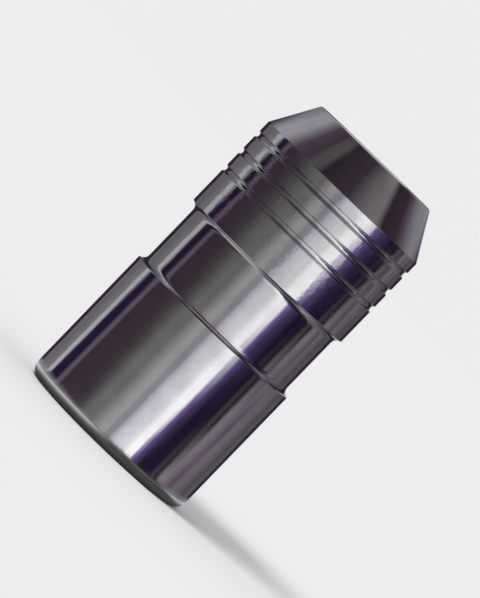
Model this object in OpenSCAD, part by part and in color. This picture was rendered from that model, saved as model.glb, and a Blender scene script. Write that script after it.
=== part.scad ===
// Locking wheel nut, turned and plated in one piece.
// It stands on its closed end, with the conical seat and the stud bore upwards.
// The origin is the centre of the closed end, and all sizes are in millimetres.

/* [Body] */
// Outside diameter of the nut
body_d = 22.8; // [21:0.1:26]
// Overall length, from the closed end to the tip of the seat
overall_len = 43.5; // [38:0.5:60]
// Radius that rounds the edge of the closed end
rim_r = 1.2; // [0.4:0.1:1.6]

/* [Stud thread] */
// Nominal diameter of the stud's metric thread
thread_d = 14; // [12:0.5:14.5]
// Pitch of the thread
thread_pitch = 1.5; // [1:0.25:2]
// How far the countersink at the mouth reaches past the thread's nominal radius
mouth_clearance = 0.3; // [0.1:0.1:0.6]
// Included angle of the countersink at the mouth, in degrees
mouth_angle = 90; // [60:5:120]
// Included angle of the drill point at the bottom of the bore, in degrees
drill_angle = 118; // [90:1:140]
// Metal left between the bottom of the coded groove and the end of the bore's wall
end_web = 5.5; // [4.5:0.1:9]

/* [Seat] */
// Included angle of the conical seat, in degrees
seat_angle = 60; // [50:1:75]
// Width of the flat ring between the countersink and the seat
tip_land = 1; // [0.4:0.1:2]

/* [Ringed band] */
// Length of the full-diameter band between the seat and the waist
band_len = 12; // [9:0.1:16]
// Number of turned rings round the band
ring_count = 3; // [0:1:4]
// Distance from the seat to the middle of the first ring
ring_offset = 1.8; // [0.8:0.1:4]
// Distance between the middles of neighbouring rings
ring_pitch = 2.6; // [1.6:0.1:4]
// Width of each ring at the surface
ring_w = 0.8; // [0.4:0.1:1.4]
// Depth of each ring
ring_depth = 0.3; // [0.1:0.05:0.5]

/* [Waist] */
// Diameter of the waist
waist_d = 21.3; // [19:0.1:22]
// Length of the waist, measured where it meets the full diameter
waist_len = 8.7; // [4:0.1:12]
// Fillet at each end of the waist
waist_fillet = 0.9; // [0.2:0.1:1.6]

/* [Coded groove] */
// Number of lobes in the groove
lobe_count = 7; // [6:1:8]
// Mean distance of the lobes' centres from the axis
lobe_ring_r = 5.1; // [4.6:0.1:5.8]
// Radius of the groove's inner wall round each lobe
lobe_r = 1.1; // [0.8:0.1:1.6]
// Radius of the groove's inner wall in each hollow between lobes
hollow_r = 2.9; // [2.5:0.1:3.4]
// Width of the groove
groove_w = 1.8; // [1.4:0.1:2.2]
// Depth of the groove
groove_depth = 5; // [3:0.1:7]
// Most that a lobe is turned from its even place, in degrees
lobe_turn = 9; // [0:0.5:10]
// Most that a lobe is moved in or out from the mean distance
lobe_shift = 0.45; // [0:0.05:0.6]
// Number that sets which way each lobe is turned and moved
code = 47; // [1:1:360]

/* [Hidden] */
$fn = 96;
// How far a cut runs on past the metal
overcut = 1;
// How far a hollow's circle reaches into the lobes' circles, so that they cross cleanly
bite = 0.001;

body_r = body_d / 2;
waist_r = waist_d / 2;
// Height of the thread's full triangle, of which five eighths stand in from the nominal radius
thread_h = thread_pitch * cos(30);
bore_r = thread_d / 2 - thread_h * 5 / 8;
mouth_r = thread_d / 2 + mouth_clearance;
tip_r = mouth_r + tip_land;
mouth_z = overall_len - (mouth_r - bore_r) / tan(mouth_angle / 2);
bore_floor_z = groove_depth + end_web;
drill_tip_z = bore_floor_z - bore_r / tan(drill_angle / 2);
seat_z = overall_len - (body_r - tip_r) / tan(seat_angle / 2);
band_z = seat_z - band_len;
waist_z = band_z - waist_len;
// Radius of the round tool that cuts a ring of this width and depth
ring_tool_r = (ring_w * ring_w / 4 + ring_depth * ring_depth) / (2 * ring_depth);

// Angle and centre of lobe i, counted anticlockwise
function lobe_angle(i) = 360 * i / lobe_count + lobe_turn * sin(code * (i + 1));
function lobe_reach(i) = lobe_ring_r + lobe_shift * cos(code * (i + 1) * 2);
function lobe_centre(i) = lobe_reach(i) * [cos(lobe_angle(i)), sin(lobe_angle(i))];

// Centre of the hollow after lobe i, outside the line that joins the two lobes beside it.
// An arc about it runs smoothly into the arcs about both lobes.
function hollow_centre(i) =
    let (a = lobe_centre(i))
    let (b = lobe_centre((i + 1) % lobe_count))
    let (half = (b - a) / 2)
    let (out = [half[1], -half[0]] / norm(half))
    a + half + out * sqrt(pow(lobe_r + hollow_r, 2) - pow(norm(half), 2));

// Half section of the turned blank, right of the axis
module blank_section() {
    polygon([
        [0, 0],
        [body_r - rim_r, 0],
        [body_r, rim_r],
        [body_r, seat_z],
        [tip_r, overall_len],
        [0, overall_len]
    ]);
    translate([body_r - rim_r, rim_r])
        circle(rim_r);
}

// Half section of the metal turned away at the waist, round in both corners
module waist_section() {
    translate([waist_r + waist_fillet, waist_z])
        square([body_r, waist_len]);
    translate([waist_r, waist_z + waist_fillet])
        square([body_r, waist_len - 2 * waist_fillet]);
    for (z = [waist_z + waist_fillet, band_z - waist_fillet])
        translate([waist_r + waist_fillet, z])
            circle(waist_fillet);
}

// Half sections of the rings, spaced down the band from the seat
module ring_sections() {
    for (i = [0 : 1 : ring_count - 1])
        translate([body_r - ring_depth + ring_tool_r, seat_z - ring_offset - i * ring_pitch])
            circle(ring_tool_r);
}

// Half section of the blind bore, with its countersunk mouth and drill point
module bore_section() {
    polygon([
        [0, drill_tip_z],
        [bore_r, bore_floor_z],
        [bore_r, mouth_z],
        [mouth_r, overall_len],
        [mouth_r, overall_len + overcut],
        [0, overall_len + overcut]
    ]);
}

// Closed wavy outline that bends outwards about every lobe's centre
// and inwards about every hollow's, with the radii given
module wavy_outline(lobe, hollow) {
    difference() {
        union() {
            polygon([for (i = [0 : lobe_count - 1]) each [lobe_centre(i), hollow_centre(i)]]);
            for (i = [0 : lobe_count - 1])
                translate(lobe_centre(i))
                    circle(lobe);
        }
        for (i = [0 : lobe_count - 1])
            translate(hollow_centre(i))
                circle(hollow + bite);
    }
}

// The coded groove: one closed channel, equally wide all the way round
module coded_groove() {
    translate([0, 0, -overcut])
        linear_extrude(groove_depth + overcut)
            difference() {
                wavy_outline(lobe_r + groove_w, hollow_r - groove_w);
                wavy_outline(lobe_r, hollow_r);
            }
}

module nut() {
    color("silver")
        difference() {
            rotate_extrude()
                difference() {
                    blank_section();
                    waist_section();
                    ring_sections();
                    bore_section();
                }
            coded_groove();
        }
}

nut();
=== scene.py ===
"""Looks of a chrome-plated locking wheel nut: its rounded edges, thread, groove and finish."""

import math

import bmesh
import bpy
import numpy as np
from mathutils import Matrix, Vector


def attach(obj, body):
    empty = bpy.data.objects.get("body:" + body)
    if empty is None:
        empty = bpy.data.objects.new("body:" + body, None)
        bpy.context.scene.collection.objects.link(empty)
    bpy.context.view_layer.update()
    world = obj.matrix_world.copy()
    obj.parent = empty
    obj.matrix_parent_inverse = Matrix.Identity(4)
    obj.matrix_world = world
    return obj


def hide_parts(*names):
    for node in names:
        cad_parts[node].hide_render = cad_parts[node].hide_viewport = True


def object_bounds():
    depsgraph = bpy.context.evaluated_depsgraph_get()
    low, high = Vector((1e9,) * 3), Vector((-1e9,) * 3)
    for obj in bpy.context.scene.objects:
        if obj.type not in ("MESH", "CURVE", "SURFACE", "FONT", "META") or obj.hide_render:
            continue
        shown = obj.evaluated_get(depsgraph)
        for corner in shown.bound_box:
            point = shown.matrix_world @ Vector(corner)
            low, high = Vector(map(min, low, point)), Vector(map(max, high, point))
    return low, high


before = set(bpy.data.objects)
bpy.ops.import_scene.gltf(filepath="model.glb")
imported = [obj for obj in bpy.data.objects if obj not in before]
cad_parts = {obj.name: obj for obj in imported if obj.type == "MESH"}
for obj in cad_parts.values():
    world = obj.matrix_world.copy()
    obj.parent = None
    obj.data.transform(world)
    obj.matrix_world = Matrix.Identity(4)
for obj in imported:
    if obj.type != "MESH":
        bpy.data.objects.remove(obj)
cad_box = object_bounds()

MM = 0.001
NODE = "nut"
BODY = "root"

# Sizes of the nut in millimetres and degrees, the overall ones from the frame.
# The code is a number that sets which way each lobe is turned and moved.
BODY_R = (cad_box[1].x - cad_box[0].x) / 2 / MM
LENGTH = (cad_box[1].z - cad_box[0].z) / MM
RIM_R = 1.2
THREAD_R = 7.0
THREAD_PITCH = 1.5
MOUTH_CLEARANCE = 0.3
MOUTH_ANGLE = 90
DRILL_ANGLE = 118
END_WEB = 5.5
TIP_LAND = 1.0
SEAT_ANGLE = 60
BAND_LEN = 12.0
WAIST_LEN = 8.7
WAIST_R = 10.65
WAIST_FILLET = 0.9
RING_COUNT = 3
RING_OFFSET = 1.8
RING_PITCH = 2.6
RING_W = 0.8
RING_DEPTH = 0.3
GROOVE_W = 1.8
GROOVE_DEPTH = 5.0
LOBE_COUNT = 7
LOBE_RING_R = 5.1
LOBE_R = 1.1
HOLLOW_R = 2.9
LOBE_TURN = 9
LOBE_SHIFT = 0.45
CODE = 47

# Sizes that follow from these, where the thread stands in five eighths of its full triangle
BORE_R = THREAD_R - THREAD_PITCH * math.cos(math.radians(30)) * 5 / 8
MOUTH_R = THREAD_R + MOUTH_CLEARANCE
TIP_R = MOUTH_R + TIP_LAND
SEAT_Z = LENGTH - (BODY_R - TIP_R) / math.tan(math.radians(SEAT_ANGLE / 2))
BAND_Z = SEAT_Z - BAND_LEN
WAIST_Z = BAND_Z - WAIST_LEN
RING_TOOL_R = (RING_W**2 / 4 + RING_DEPTH**2) / (2 * RING_DEPTH)
BORE_FLOOR_Z = GROOVE_DEPTH + END_WEB

# Fine rounding that only the visual mesh has, in millimetres
LIP_R = 0.1
SEAT_EDGE_R = 0.3
TIP_EDGE_R = 0.45
MOUTH_EDGE_R = 0.12
GROOVE_EDGE_R = 0.18
GROOVE_FOOT_R = 0.2
# How far from a bend a long face gets one more row, which keeps its shading true
GUARD = 0.05
LONG_FACE = 6 * GUARD

# Thread: its flats as shares of the pitch, where its rows lie in one pitch, how far it takes
# to reach full depth, and the plain stretch of the bore below it
CREST_HALF = 1 / 8
ROOT_HALF = 1 / 16
THREAD_STEPS = (0.0, 0.09, 0.15, 0.42, 0.5, 0.58, 0.85, 0.91)
THREAD_TAPER = 2.5 * THREAD_PITCH
THREAD_RELIEF = 4.5
THREAD_TOP_Z = LENGTH - (MOUTH_R - THREAD_R) / math.tan(math.radians(MOUTH_ANGLE / 2))
THREAD_END_Z = BORE_FLOOR_Z + THREAD_RELIEF

# Columns of the mesh round the axis, and how near two points are made one
COLUMNS = 240
WELD = 0.0001
ANGLES = np.arange(COLUMNS) * 2 * math.pi / COLUMNS


# Section of the turned surfaces, as points at a radius and a height

def arc(centre, radius, start, end, steps):
    """Points of an arc, from one angle to another in degrees."""
    turns = [math.radians(start + (end - start) * i / steps) for i in range(steps + 1)]
    return [(centre[0] + radius * math.cos(a), centre[1] + radius * math.sin(a)) for a in turns]


def rounded_corner(before, corner, after, radius, steps=4):
    """Points of the arc that rounds the corner between two neighbours."""
    corner = Vector(corner)
    back = (Vector(before) - corner).normalized()
    ahead = (Vector(after) - corner).normalized()
    half = back.angle(ahead) / 2
    centre = corner + (back + ahead).normalized() * radius / math.sin(half)
    start = corner + back * radius / math.tan(half) - centre
    end = corner + ahead * radius / math.tan(half) - centre
    first = math.degrees(math.atan2(start.y, start.x))
    turn = math.degrees(math.atan2(start.x * end.y - start.y * end.x, start.dot(end)))
    return arc(centre, radius, first, first + turn, steps)


def into_hollow(centre, radius, steps=7):
    """Up the body, over a rounded lip and into a hollow of round section, to its deepest point."""
    lip_r = BODY_R - LIP_R
    tilt = math.acos((centre[0] - lip_r) / (radius + LIP_R))
    lip_z = centre[1] - (radius + LIP_R) * math.sin(tilt)
    tilt = math.degrees(tilt)
    return arc((lip_r, lip_z), LIP_R, 0, tilt, 4) + arc(centre, radius, 180 + tilt, 180, steps)[1:]


def out_of_hollow(centre, radius, steps=7):
    """The way out of the same hollow, which is its way in turned upside down."""
    way_in = into_hollow((centre[0], -centre[1]), radius, steps)
    return [(r, -z) for r, z in reversed(way_in)]


def guarded(points):
    """The section with one more point near both ends of each long straight stretch."""
    out = [points[0]]
    for p, q in zip(points, points[1:]):
        way = Vector(q) - Vector(p)
        if way.length > LONG_FACE:
            step = way.normalized() * GUARD
            out += [tuple(Vector(p) + step), tuple(Vector(q) - step)]
        out.append(q)
    return out


def outside_section():
    """From the closed end's rim, up the outside, over the tip and into the countersink."""
    rim = arc((BODY_R - RIM_R, RIM_R), RIM_R, -90, 0, 10)
    fillet_r = WAIST_R + WAIST_FILLET
    waist = into_hollow((fillet_r, WAIST_Z + WAIST_FILLET), WAIST_FILLET)
    waist += out_of_hollow((fillet_r, BAND_Z - WAIST_FILLET), WAIST_FILLET)
    rings = []
    for i in reversed(range(RING_COUNT)):
        centre = (BODY_R - RING_DEPTH + RING_TOOL_R, SEAT_Z - RING_OFFSET - i * RING_PITCH)
        rings += into_hollow(centre, RING_TOOL_R) + out_of_hollow(centre, RING_TOOL_R)[1:]
    seat_foot = (BODY_R, SEAT_Z)
    tip = (TIP_R, LENGTH)
    mouth = (MOUTH_R, LENGTH)
    top = rounded_corner((BODY_R, BAND_Z), seat_foot, tip, SEAT_EDGE_R)
    top += rounded_corner(seat_foot, tip, mouth, TIP_EDGE_R)
    top += rounded_corner(tip, mouth, (THREAD_R, THREAD_TOP_Z), MOUTH_EDGE_R)
    return guarded(rim + waist + rings + top + [(THREAD_R, THREAD_TOP_Z)])


def drilled_section():
    """From the end of the thread down to the tip of the drill point."""
    point_z = BORE_FLOOR_Z - BORE_R / math.tan(math.radians(DRILL_ANGLE / 2))
    return guarded([(BORE_R, THREAD_END_Z), (BORE_R, BORE_FLOOR_Z), (0, point_z)])


# Coded groove, whose outline bends outwards round each lobe and inwards through each hollow

def lobe_centre(i):
    """Centre of a lobe, counted anticlockwise and round again."""
    i %= LOBE_COUNT
    turn = math.radians(360 * i / LOBE_COUNT + LOBE_TURN * math.sin(math.radians(CODE * (i + 1))))
    reach = LOBE_RING_R + LOBE_SHIFT * math.cos(math.radians(CODE * (i + 1) * 2))
    return Vector((reach * math.cos(turn), reach * math.sin(turn)))


def hollow_centre(i):
    """Centre of the arc that runs smoothly from one lobe into the next."""
    a, b = lobe_centre(i), lobe_centre(i + 1)
    half = (b - a) / 2
    out = Vector((half.y, -half.x)).normalized()
    return a + half + out * math.sqrt((LOBE_R + HOLLOW_R) ** 2 - half.length_squared)


def bearing(point):
    return math.atan2(point.y, point.x) % (2 * math.pi)


def outline(offset):
    """The outline's distance from the axis at each column, moved out by offset from the inner wall."""
    lobe_r, hollow_r = LOBE_R + offset, HOLLOW_R - offset
    arcs = []
    for i in range(LOBE_COUNT):
        lobe, hollow, after = lobe_centre(i), hollow_centre(i), lobe_centre(i + 1)
        before = hollow_centre(i - 1)
        start = bearing(lobe + (before - lobe).normalized() * lobe_r)
        middle = bearing(lobe + (hollow - lobe).normalized() * lobe_r)
        end = bearing(after + (hollow - after).normalized() * lobe_r)
        arcs += [(start, middle, lobe, lobe_r, 1), (middle, end, hollow, hollow_r, -1)]
    reach = np.zeros(COLUMNS)
    for start, end, centre, radius, side in arcs:
        inside = (ANGLES - start) % (2 * math.pi) <= (end - start) % (2 * math.pi)
        along = centre.x * np.cos(ANGLES) + centre.y * np.sin(ANGLES)
        across = centre.x * np.sin(ANGLES) - centre.y * np.cos(ANGLES)
        chord = np.sqrt(np.maximum(radius**2 - across**2, 0))
        reach[inside] = (along + side * chord)[inside]
    return reach


def ring(radii, z):
    """One closed row of points at the columns' angles. The radii and z are numbers or arrays."""
    points = np.zeros((COLUMNS, 3))
    points[:, 0] = radii * np.cos(ANGLES)
    points[:, 1] = radii * np.sin(ANGLES)
    points[:, 2] = z
    return points


def closed_end_rows():
    """Rows of the post inside the groove, the groove, and the flat ring round it."""
    edge, foot = GROOVE_EDGE_R, GROOVE_FOOT_R
    post = outline(-edge - GUARD)
    post_rows = [ring(post * share, 0) for share in (0, 0.35, 0.7, 0.9, 1)]
    section = arc((-edge, edge), edge, -90, 0, 4)
    section += arc((foot, GROOVE_DEPTH - foot), foot, 180, 90, 4)
    section += arc((GROOVE_W - foot, GROOVE_DEPTH - foot), foot, 90, 0, 4)
    section += arc((GROOVE_W + edge, edge), edge, 180, 270, 4)
    groove_rows = [ring(outline(offset), z) for offset, z in guarded(section)]
    inner = outline(GROOVE_W + edge + GUARD)
    outer = BODY_R - RIM_R - GUARD
    land_rows = [ring(inner + (outer - inner) * share, 0) for share in (0, 0.4, 0.8, 1)]
    return post_rows, groove_rows, land_rows


# Thread, cut into the bore's wall with rows that follow its helix

def bore_radius(angles, z):
    """Radius of the hole at an angle and a height, where the thread and the countersink meet."""
    turn = ((z - THREAD_TOP_Z) / THREAD_PITCH - angles / (2 * math.pi)) % 1
    from_crest = np.minimum(turn, 1 - turn)
    cut = np.clip((from_crest - CREST_HALF) / (0.5 - ROOT_HALF - CREST_HALF), 0, 1)
    fade = np.clip((z - THREAD_END_Z) / THREAD_TAPER, 0, 1)
    thread = BORE_R + (THREAD_R - BORE_R) * cut * fade
    cone = MOUTH_R - (LENGTH - z) * math.tan(math.radians(MOUTH_ANGLE / 2))
    return np.maximum(thread, cone)


def thread_rows():
    """Rows that drop one pitch behind at each turn. Those past either end lie in that end's ring."""
    rows = []
    turns = math.ceil((THREAD_TOP_Z - THREAD_END_Z) / THREAD_PITCH) + 1
    for turn in range(turns + 1):
        for step in THREAD_STEPS:
            z = THREAD_TOP_Z - (turn + step) * THREAD_PITCH + ANGLES / (2 * math.pi) * THREAD_PITCH
            z = np.clip(z, THREAD_END_Z, THREAD_TOP_Z)
            rows.append(ring(bore_radius(ANGLES, z), z))
    return rows


def skin_faces(seams):
    """Faces between each row and the next. A row's last face ends in the row that its seam names."""
    faces = []
    for k in range(len(seams) - 1):
        for j in range(COLUMNS):
            last = j == COLUMNS - 1
            near = (seams[k] if last else k) * COLUMNS + (j + 1) % COLUMNS
            far = (seams[k + 1] if last else k + 1) * COLUMNS + (j + 1) % COLUMNS
            corners = (k * COLUMNS + j, near, far, (k + 1) * COLUMNS + j)
            faces.append(tuple(dict.fromkeys(corners)))
    return faces


def skin_mesh(name, parts):
    """One closed mesh from parts of (rows, material index, rows that the seam steps back)."""
    points, seams, finishes = [], [], []
    for rows, finish, back in parts:
        first = len(points)
        for i, row in enumerate(rows):
            points.append(row)
            seams.append(first + max(i - back, 0))
            finishes.append(finish)
    faces = skin_faces(seams)
    mesh = bpy.data.meshes.new(name)
    mesh.from_pydata((np.concatenate(points) * MM).tolist(), [], faces)
    mesh.polygons.foreach_set("material_index", np.repeat(finishes[:-1], COLUMNS))
    work = bmesh.new()
    work.from_mesh(mesh)
    bmesh.ops.remove_doubles(work, verts=work.verts, dist=WELD * MM)
    for face in work.faces:
        face.smooth = True
    work.to_mesh(mesh)
    work.free()
    return mesh


# Materials

# Each finish: its colour, the stain that it is mottled towards, its lowest and highest
# roughness, and the heights in millimetres of the plating's soft waves, of the lathe's
# fine lines and of the uneven plating over the ringed band
FINISHES = (
    ("chrome", (0.62, 0.62, 0.635), (0.56, 0.56, 0.575), (0.035, 0.09), 0.012, 0.0004, 0.022),
    ("groove_plating", (0.5, 0.5, 0.51), (0.4, 0.395, 0.39), (0.14, 0.3), 0.006, 0, 0),
    ("thread_steel", (0.56, 0.555, 0.55), (0.42, 0.41, 0.4), (0.2, 0.4), 0.006, 0.001, 0),
)
CHROME, GROOVE_PLATING, THREAD_STEEL = range(len(FINISHES))
# Height of the finest grain as a share of the soft waves' height
GRAIN_SHARE = 1 / 12
# Span of the patches from full stain to clean colour, and of the haze from glossy to dull
STAIN_SPAN = (0.38, 0.6)
HAZE_SPAN = (0.15, 0.4)
# How far past the band's ends the uneven plating ends, and how far inside them it is full
RIPPLE_PAST = 0.2
RIPPLE_FULL = 0.8


def new_material(name):
    material = bpy.data.materials.new(name)
    material.use_nodes = True
    tree = material.node_tree
    tree.nodes.clear()
    return material, tree


def add(tree, kind, **settings):
    """A node of the kind, with its properties and input values set by name."""
    node = tree.nodes.new(kind)
    for key, value in settings.items():
        if key in node.inputs:
            node.inputs[key].default_value = value
        else:
            setattr(node, key, value)
    return node


def link(tree, source, node, socket):
    tree.links.new(source, node.inputs[socket])


def noise(tree, place, scale, detail, roughness):
    texture = add(tree, "ShaderNodeTexNoise", Scale=scale, Detail=detail, Roughness=roughness)
    link(tree, place, texture, "Vector")
    return texture.outputs["Fac"]


def product(tree, first, second):
    times = add(tree, "ShaderNodeMath", operation="MULTIPLY")
    link(tree, first, times, 0)
    link(tree, second, times, 1)
    return times.outputs[0]


def spread(tree, value, span, results):
    """The value, moved from one span of numbers to another and held within it."""
    change = add(tree, "ShaderNodeMapRange")
    change.inputs["From Min"].default_value = span[0]
    change.inputs["From Max"].default_value = span[1]
    change.inputs["To Min"].default_value = results[0]
    change.inputs["To Max"].default_value = results[1]
    link(tree, value, change, "Value")
    return change.outputs["Result"]


def place_in_mm(tree):
    place = add(tree, "ShaderNodeTexCoord").outputs["Object"]
    scaled = add(tree, "ShaderNodeVectorMath", operation="SCALE", Scale=1 / MM)
    link(tree, place, scaled, 0)
    return scaled.outputs[0]


def height_of(tree, place):
    split = add(tree, "ShaderNodeSeparateXYZ")
    link(tree, place, split, 0)
    return split.outputs["Z"]


def lathe_place(tree, place):
    """Radius and height of a place, which stay the same all the way round a lathe line."""
    flat = add(tree, "ShaderNodeVectorMath", operation="MULTIPLY")
    flat.inputs[1].default_value = (1, 1, 0)
    link(tree, place, flat, 0)
    radius = add(tree, "ShaderNodeVectorMath", operation="LENGTH")
    link(tree, flat.outputs[0], radius, 0)
    lathe = add(tree, "ShaderNodeCombineXYZ")
    link(tree, radius.outputs["Value"], lathe, "X")
    link(tree, height_of(tree, place), lathe, "Z")
    return lathe.outputs[0]


def on_ringed_band(tree, place):
    """1 on the ringed band, and 0 past both of its ends."""
    from_middle = add(tree, "ShaderNodeMath", operation="SUBTRACT")
    link(tree, height_of(tree, place), from_middle, 0)
    from_middle.inputs[1].default_value = (BAND_Z + SEAT_Z) / 2
    distance = add(tree, "ShaderNodeMath", operation="ABSOLUTE")
    link(tree, from_middle.outputs[0], distance, 0)
    half = BAND_LEN / 2
    return spread(tree, distance.outputs[0], (half + RIPPLE_PAST, half - RIPPLE_FULL), (0, 1))


def mottled(tree, patches, stain, colour):
    tint = add(tree, "ShaderNodeValToRGB")
    for element, position, shade in zip(tint.color_ramp.elements, STAIN_SPAN, (stain, colour)):
        element.position = position
        element.color = (*shade, 1)
    link(tree, patches, tint, "Fac")
    return tint.outputs["Color"]


def bumped(tree, heights):
    """Surface direction, tilted by each texture at its height in millimetres."""
    normal = None
    for texture, height in heights:
        bump = add(tree, "ShaderNodeBump", Strength=1.0, Distance=height * MM)
        link(tree, texture, bump, "Height")
        if normal:
            link(tree, normal, bump, "Normal")
        normal = bump.outputs["Normal"]
    return normal


def plated_metal(name, colour, stain, rough, peel, lines, ripple):
    material, tree = new_material(name)
    place = place_in_mm(tree)
    waves = noise(tree, place, scale=0.5, detail=2.0, roughness=0.4)
    grain = noise(tree, place, scale=5.0, detail=3.0, roughness=0.6)
    on_lathe = lathe_place(tree, place)
    turned = noise(tree, on_lathe, scale=4.0, detail=2.0, roughness=0.5)
    patches = noise(tree, place, scale=0.35, detail=5.0, roughness=0.6)
    dimples = noise(tree, place, scale=1.4, detail=3.0, roughness=0.55)
    uneven = product(tree, dimples, on_ringed_band(tree, place))
    heights = ((waves, peel), (grain, peel * GRAIN_SHARE), (turned, lines), (uneven, ripple))

    shader = add(tree, "ShaderNodeBsdfPrincipled", Metallic=1.0)
    link(tree, mottled(tree, patches, stain, colour), shader, "Base Color")
    haze = product(tree, patches, grain)
    link(tree, spread(tree, haze, HAZE_SPAN, rough), shader, "Roughness")
    link(tree, bumped(tree, heights), shader, "Normal")
    output = add(tree, "ShaderNodeOutputMaterial")
    link(tree, shader.outputs[0], output, "Surface")
    return material


def make_nut():
    post, groove, land = closed_end_rows()
    outside = [ring(r, z) for r, z in outside_section()]
    drilled = [ring(r, z) for r, z in drilled_section()]
    parts = [
        (post, CHROME, 0),
        (groove, GROOVE_PLATING, 0),
        (land, CHROME, 0),
        (outside, CHROME, 0),
        (thread_rows(), THREAD_STEEL, len(THREAD_STEPS)),
        (drilled, THREAD_STEEL, 0),
    ]
    nut = bpy.data.objects.new("locking_nut", skin_mesh("locking_nut", parts))
    bpy.context.scene.collection.objects.link(nut)
    for finish in FINISHES:
        nut.data.materials.append(plated_metal(*finish))
    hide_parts(NODE)
    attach(nut, BODY)
    return nut


# Studio

# The floor lies just under the nut and runs out of sight, with an opening that the nut covers
FLOOR_DROP = 0.005 * MM
FLOOR_REACH = 3.0
FLOOR_OPENING = 10.0 * MM
FLOOR_CORNERS = 64
PALE = (0.84, 0.84, 0.85)
# Levels of the sky and the sun, then the sun's width, tilt and bearing in degrees
SKY_LEVEL = 0.62
SUN_LEVEL = 1.6
SUN_SIZE = 25
SUN_FROM_TOP = 40
SUN_BEARING = -40

# Cards in a ring round the nut and below it, in millimetres, seen by polished metal alone
CARD_R = 32
CARD_TOP = 112
UNDER_Z = -45
CARD_COLUMNS = 360
WHITE = (1.0, 1.0, 1.0)
SAND = (1.03, 1.0, 0.95)
ROSE = (1.05, 0.96, 0.98)
LILAC = (1.0, 0.95, 1.06)
PLUM = (1.12, 0.78, 1.1)
INDIGO = (0.9, 0.58, 1.6)


def upright(*cards):
    """Cards whose feet and tops have the same bearing, which is given once."""
    return tuple((side, side, level, tint) for side, level, tint in cards)


def plain(level):
    """Cards that are equally bright on every side."""
    return upright((-180, level, WHITE), (180, level, WHITE))


# Bearing from the front towards the right in degrees, at the foot and at the top,
# then brightness and tint, which change smoothly from each line to the next
LOW_CARDS = (
    (-180, -180, 0.85, WHITE),
    (-174, -174, 0.85, WHITE),
    (-170, -170, 0.22, LILAC),
    (-158, -158, 0.3, LILAC),
    (-148, -148, 0.04, INDIGO),
    (-132, -132, 0.03, PLUM),
    (-128, -128, 0.2, ROSE),
    (-118, -118, 0.19, LILAC),
    (-104, -97, 0.27, LILAC),
    (-101, -94, 0.62, WHITE),
    (-97, -88, 0.62, WHITE),
    (-94, -84, 0.03, INDIGO),
    (-82, -77, 0.025, INDIGO),
    (-78, -74, 0.16, PLUM),
    (-75, -71, 0.16, PLUM),
    (-72, -68, 0.05, PLUM),
    (-45, -58, 0.06, PLUM),
    (-38, -46, 0.09, ROSE),
    (-30, -27, 0.21, SAND),
    (-21, -19, 0.22, SAND),
    (-9, -10, 0.47, SAND),
    (-5, -5, 0.47, WHITE),
    (-3, -3, 0.38, LILAC),
    (1, 3, 0.38, LILAC),
    (3, 5, 0.62, LILAC),
    (7, 10, 0.86, LILAC),
    (18, 24, 1.05, WHITE),
    (22, 31, 1.45, WHITE),
    (28, 44, 1.5, WHITE),
    (30, 48, 0.3, INDIGO),
    (34, 55, 0.12, INDIGO),
    (40, 72, 0.022, INDIGO),
    (54, 84, 0.025, INDIGO),
    (57, 88, 0.08, PLUM),
    (59, 90, 0.08, PLUM),
    (62, 94, 0.02, PLUM),
    (67, 100, 0.29, LILAC),
    (73, 103, 0.26, LILAC),
    (84, 107, 0.13, PLUM),
    (92, 111, 0.22, LILAC),
    (112, 119, 0.11, LILAC),
    (128, 128, 0.14, LILAC),
    (132, 132, 0.04, PLUM),
    (146, 146, 0.03, INDIGO),
    (151, 151, 0.4, LILAC),
    (158, 158, 0.5, WHITE),
    (167, 167, 0.45, WHITE),
    (169, 169, 0.85, WHITE),
    (180, 180, 0.85, WHITE),
)
HIGH_CARDS = upright(
    (-180, 0.06, PLUM),
    (-165, 0.05, PLUM),
    (-150, 0.24, ROSE),
    (-130, 0.3, LILAC),
    (-116, 0.46, LILAC),
    (-100, 0.43, LILAC),
    (-90, 0.24, LILAC),
    (-80, 0.09, PLUM),
    (-62, 0.06, PLUM),
    (-56, 0.1, ROSE),
    (-44, 0.11, ROSE),
    (-36, 0.035, PLUM),
    (6, 0.05, PLUM),
    (36, 0.19, ROSE),
    (55, 0.25, ROSE),
    (65, 0.035, PLUM),
    (86, 0.045, PLUM),
    (95, 0.1, PLUM),
    (107, 0.22, LILAC),
    (118, 0.3, LILAC),
    (125, 0.3, LILAC),
    (142, 0.34, LILAC),
    (160, 0.08, PLUM),
    (180, 0.06, PLUM),
)
FLOOR_CARDS = upright(
    (-180, 0.5, WHITE),
    (-110, 0.6, WHITE),
    (-18, 0.6, WHITE),
    (4, 0.14, ROSE),
    (64, 0.12, ROSE),
    (86, 0.55, LILAC),
    (110, 0.5, LILAC),
    (180, 0.5, WHITE),
)
ROOF_CARDS = upright(
    (-180, 0.95, WHITE),
    (-110, 0.8, WHITE),
    (-60, 0.35, ROSE),
    (60, 0.35, ROSE),
    (110, 0.8, WHITE),
    (180, 0.95, WHITE),
)


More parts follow.
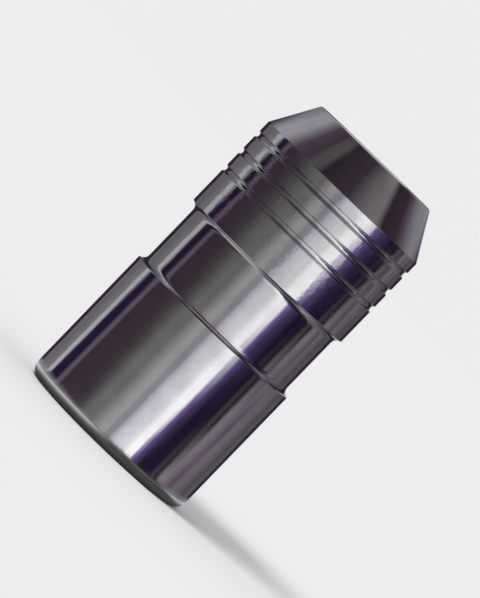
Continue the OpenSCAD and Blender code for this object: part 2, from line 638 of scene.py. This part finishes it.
# Rows of the ring, from the nut's foot out over the floor, up, and in over the top:
# radius, height, cards, share of the way from the cards' feet to their tops, and gain
CARD_ROWS = (
    # The first two rows are dark: painted shade round the nut's foot, which the rounded rim mirrors as
    # a contact shadow
    (10.4, 0, plain(0.02), 0, 1),
    (11.5, 0, plain(0.1), 0, 1),
    (13, 0, FLOOR_CARDS, 0, 0.7),
    (15, 0, FLOOR_CARDS, 0, 1.2),
    (20, 0, FLOOR_CARDS, 0, 1.2),
    (24, 0, FLOOR_CARDS, 0, 0.6),
    (CARD_R, 0, LOW_CARDS, 0, 1.05),
    (CARD_R, 9, LOW_CARDS, 0.21, 1),
    (CARD_R, 24, LOW_CARDS, 0.57, 0.88),
    (CARD_R, 42, LOW_CARDS, 1, 0.88),
    (CARD_R, 50, HIGH_CARDS, 0, 1),
    (CARD_R, 86, HIGH_CARDS, 0, 1),
    (CARD_R, 92, ROOF_CARDS, 0, 1.1),
    (CARD_R, CARD_TOP, ROOF_CARDS, 0, 1.1),
    (26, CARD_TOP, ROOF_CARDS, 0, 1.1),
    (10, CARD_TOP, ROOF_CARDS, 0, 1),
)
# A round card far below, which the closed end mirrors through the opening in the floor
UNDER_ROWS = (
    (0.01, UNDER_Z, plain(0.12), 0, 1),
    (6, UNDER_Z, plain(0.2), 0, 1),
    (14, UNDER_Z, plain(0.6), 0, 1),
    (24, UNDER_Z, plain(0.95), 0, 1),
    (34, UNDER_Z, plain(0.75), 0, 1),
    (48, UNDER_Z, plain(0.16), 0, 1),
    (70, UNDER_Z, plain(0.12), 0, 1),
    (110, UNDER_Z, plain(0.5), 0, 1),
    (160, UNDER_Z, plain(0.5), 0, 1),
)


def floor_material():
    """Pale and dull from above, clear from below."""
    material, tree = new_material("pale_floor")
    shader = add(tree, "ShaderNodeBsdfDiffuse")
    shader.inputs["Color"].default_value = (*PALE, 1)
    beneath = add(tree, "ShaderNodeNewGeometry").outputs["Backfacing"]
    clear = add(tree, "ShaderNodeBsdfTransparent")
    pick = add(tree, "ShaderNodeMixShader")
    link(tree, beneath, pick, 0)
    link(tree, shader.outputs[0], pick, 1)
    link(tree, clear.outputs[0], pick, 2)
    output = add(tree, "ShaderNodeOutputMaterial")
    link(tree, pick.outputs[0], output, "Surface")
    return material


def make_floor():
    """A flat ring round the nut."""
    mesh = bpy.data.meshes.new("floor")
    turns = [2 * math.pi * i / FLOOR_CORNERS for i in range(FLOOR_CORNERS)]
    points = []
    for reach in (FLOOR_OPENING, FLOOR_REACH):
        points += [(reach * math.cos(a), reach * math.sin(a), -FLOOR_DROP) for a in turns]
    faces = []
    for i in range(FLOOR_CORNERS):
        after = (i + 1) % FLOOR_CORNERS
        faces.append((i, FLOOR_CORNERS + i, FLOOR_CORNERS + after, after))
    mesh.from_pydata(points, [], faces)
    floor = bpy.data.objects.new("floor", mesh)
    bpy.context.scene.collection.objects.link(floor)
    mesh.materials.append(floor_material())


def card_material():
    material, tree = new_material("studio_cards")
    colour = add(tree, "ShaderNodeAttribute", attribute_name="glow")
    glow = add(tree, "ShaderNodeEmission", Strength=1.0)
    link(tree, colour.outputs["Color"], glow, "Color")
    output = add(tree, "ShaderNodeOutputMaterial")
    link(tree, glow.outputs[0], output, "Surface")
    return material


def card_colours(cards, share, gain, bearings):
    """Brightness of the cards in each colour, at a share of their height."""
    edges = [foot + (top - foot) * share for foot, top, *_ in cards]
    glow = np.array([[gain * level * c for c in tint] for *_, level, tint in cards])
    return np.stack([np.interp(bearings, edges, glow[:, i]) for i in range(3)], axis=1)


def make_cards(name, rows, material):
    """A sheet that glows, with one ring of points for each row."""
    bearings = np.linspace(-180, 180, CARD_COLUMNS + 1)
    across, ahead = np.sin(np.radians(bearings)), -np.cos(np.radians(bearings))
    points, colours, faces = [], [], []
    for radius, height, cards, share, gain in rows:
        heights = np.full(len(bearings), height)
        points += (np.stack([radius * across, radius * ahead, heights], axis=1) * MM).tolist()
        colours.append(np.insert(card_colours(cards, share, gain, bearings), 3, 1, axis=1))
    for j in range(len(rows) - 1):
        for i in range(CARD_COLUMNS):
            corner = j * len(bearings) + i
            faces.append((corner, corner + 1, corner + len(bearings) + 1, corner + len(bearings)))
    mesh = bpy.data.meshes.new(name)
    mesh.from_pydata(points, [], faces)
    layer = mesh.color_attributes.new("glow", "FLOAT_COLOR", "POINT")
    layer.data.foreach_set("color", np.concatenate(colours).ravel())
    mesh.materials.append(material)
    sheet = bpy.data.objects.new(name, mesh)
    bpy.context.scene.collection.objects.link(sheet)
    sheet.visible_camera = False
    sheet.visible_diffuse = False
    sheet.visible_shadow = False
    sheet.visible_transmission = False
    sheet.visible_volume_scatter = False


def make_world():
    """A white sky for the light, and a pale one where it is seen or mirrored."""
    world = bpy.data.worlds.new("studio")
    bpy.context.scene.world = world
    world.use_nodes = True
    tree = world.node_tree
    tree.nodes.clear()
    rays = add(tree, "ShaderNodeLightPath")
    seen = rays.outputs["Is Camera Ray"]
    for kind in ("Is Glossy Ray", "Is Transmission Ray"):
        total = add(tree, "ShaderNodeMath", operation="ADD", use_clamp=True)
        link(tree, seen, total, 0)
        link(tree, rays.outputs[kind], total, 1)
        seen = total.outputs[0]
    light = add(tree, "ShaderNodeBackground", Strength=SKY_LEVEL)
    light.inputs["Color"].default_value = (1, 1, 1, 1)
    backdrop = add(tree, "ShaderNodeBackground", Strength=1.0)
    backdrop.inputs["Color"].default_value = (*PALE, 1)
    pick = add(tree, "ShaderNodeMixShader")
    link(tree, seen, pick, 0)
    link(tree, light.outputs[0], pick, 1)
    link(tree, backdrop.outputs[0], pick, 2)
    output = add(tree, "ShaderNodeOutputWorld")
    link(tree, pick.outputs[0], output, "Surface")


def make_sun():
    """A wide sun that lights the floor and the nut, and that the metal doesn't mirror."""
    data = bpy.data.lights.new("soft_sun", "SUN")
    data.energy = SUN_LEVEL
    data.angle = math.radians(SUN_SIZE)
    sun = bpy.data.objects.new("soft_sun", data)
    bpy.context.scene.collection.objects.link(sun)
    sun.rotation_euler = (math.radians(SUN_FROM_TOP), 0, math.radians(SUN_BEARING))
    sun.visible_glossy = False


# Camera

CAMERA_AWAY = 0.5
CAMERA_ELEVATION = 2
# Angle of the nut's axis from upright in the picture, leaning to the right
CAMERA_LEAN = 44
# The picture's height in pixels, which its scale turns into the height that is seen
PICTURE_H = 598
PIXELS_PER_MM = 9.0


def make_camera():
    data = bpy.data.cameras.new("camera")
    camera = bpy.data.objects.new("camera", data)
    bpy.context.scene.collection.objects.link(camera)
    bpy.context.scene.camera = camera
    rise = math.radians(CAMERA_ELEVATION)
    lean = math.radians(CAMERA_LEAN)
    back = Vector((0, -math.cos(rise), math.sin(rise)))
    tall = Vector((0, math.sin(rise), math.cos(rise)))
    aside = Vector((1, 0, 0))
    up = tall * math.cos(lean) - aside * math.sin(lean)
    right = aside * math.cos(lean) + tall * math.sin(lean)
    target = (cad_box[0] + cad_box[1]) / 2
    turn = Matrix((right, up, back)).transposed().to_4x4()
    camera.matrix_world = Matrix.Translation(target + back * CAMERA_AWAY) @ turn
    seen_h = PICTURE_H / PIXELS_PER_MM * MM
    data.lens = data.sensor_width * CAMERA_AWAY / seen_h
    data.clip_start = CAMERA_AWAY / 10
    data.clip_end = 4 * FLOOR_REACH


make_nut()
make_floor()
cards_glow = card_material()
make_cards("cards", CARD_ROWS, cards_glow)
make_cards("under_card", UNDER_ROWS, cards_glow)
make_world()
make_sun()
make_camera()
bpy.context.scene.view_settings.view_transform = "Standard"
